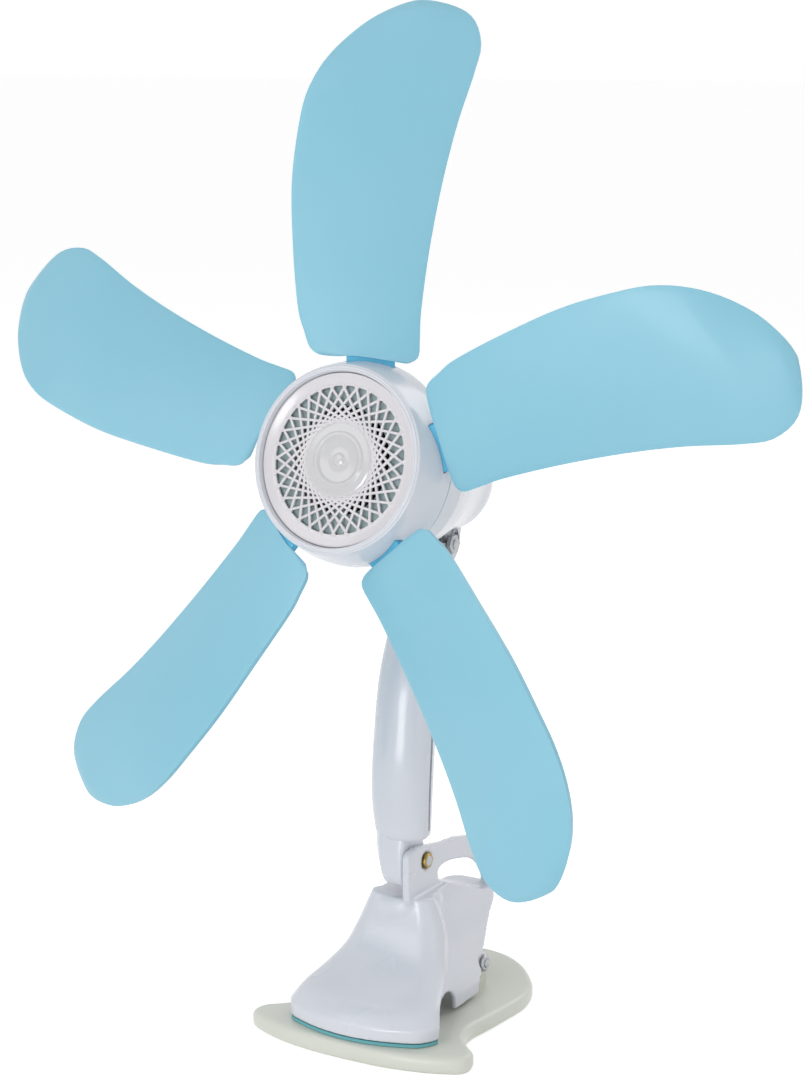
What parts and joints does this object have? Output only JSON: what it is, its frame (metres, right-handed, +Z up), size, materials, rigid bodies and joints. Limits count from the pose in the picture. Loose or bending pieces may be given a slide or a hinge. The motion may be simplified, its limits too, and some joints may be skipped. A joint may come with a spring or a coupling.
{
  "type": "clip fan",
  "caption": "Open-bladed fan head with forward-swept blades and a lattice hub, on a bent arm hinged to a sprung clip that also stands as a foot.",
  "frame": {"origin": "centre of the lower jaw's flat underside, which the fan stands on", "axes": "+Z up, the fan's face looks along -Y and 13.6 degrees up, X along the jaw pin"},
  "size_m": [0.3868, 0.178, 0.4653],
  "materials": {
    "white_plastic": "glossy moulded, cool white",
    "cream_plastic": "satin moulded, slightly aged white",
    "blue_plastic": "satin moulded, sky blue",
    "teal_rubber": "matt rubber",
    "dark_plastic": "matt",
    "steel": "zinc plated",
    "brass": "turned",
    "copper_wire": "enamelled copper wire"
  },
  "bodies": {
    "base": {"lower_jaw": "cream_plastic", "jaw_pin": "steel", "pin_cap_left": "steel", "pin_cap_right": "steel", "jaw_spring": "steel"},
    "clip": {"upper_jaw": "white_plastic", "jaw_pad": "teal_rubber", "arm_bolt": "steel", "arm_nut": "brass"},
    "arm": {"arm_front": "white_plastic", "arm_rear": "white_plastic", "lead_bush": "dark_plastic", "head_bolt": "steel", "head_nut": "steel"},
    "head": {"rear_housing": "white_plastic", "motor_base": "dark_plastic", "front_bearing": "brass", "rear_bearing": "brass", "stator_core": "steel", "stator_coil_1": "copper_wire", "stator_coil_2": "copper_wire", "stator_coil_3": "copper_wire", "stator_coil_4": "copper_wire", "stator_coil_5": "copper_wire", "stator_coil_6": "copper_wire", "stator_coil_7": "copper_wire", "stator_coil_8": "copper_wire"},
    "rotor": {"rotor_shell": "white_plastic", "front_grille": "white_plastic", "blade_1": "blue_plastic", "blade_2": "blue_plastic", "blade_3": "blue_plastic", "blade_4": "blue_plastic", "blade_5": "blue_plastic", "blade_screw_1": "steel", "blade_screw_2": "steel", "blade_screw_3": "steel", "blade_screw_4": "steel", "blade_screw_5": "steel", "rotor_can": "steel", "magnet_ring": "dark_plastic", "rotor_shaft": "steel", "shaft_clip": "steel"}
  },
  "joints": [
    {"name": "jaw_open", "type": "hinge", "parent": "base", "child": "clip", "pos_m": [0, 0.02, 0.021], "axis": [-1, 0, 0], "range_deg": [0, 25], "stiffness_Nm_per_rad": 2.2, "springref_deg": -25.78, "deforming": ["jaw_spring"]},
    {"name": "arm_tilt", "type": "hinge", "parent": "clip", "child": "arm", "pos_m": [0, -0.007, 0.077], "axis": [-1, 0, 0], "range_deg": [-15, 30]},
    {"name": "head_tilt", "type": "hinge", "parent": "arm", "child": "head", "pos_m": [0, 0.017, 0.222], "axis": [-1, 0, 0], "range_deg": [-18, 40]},
    {"name": "rotor_spin", "type": "hinge", "parent": "head", "child": "rotor", "pos_m": [0, -0.069, 0.273], "axis": [0, -0.972, 0.2351], "continuous": true}
  ]
}
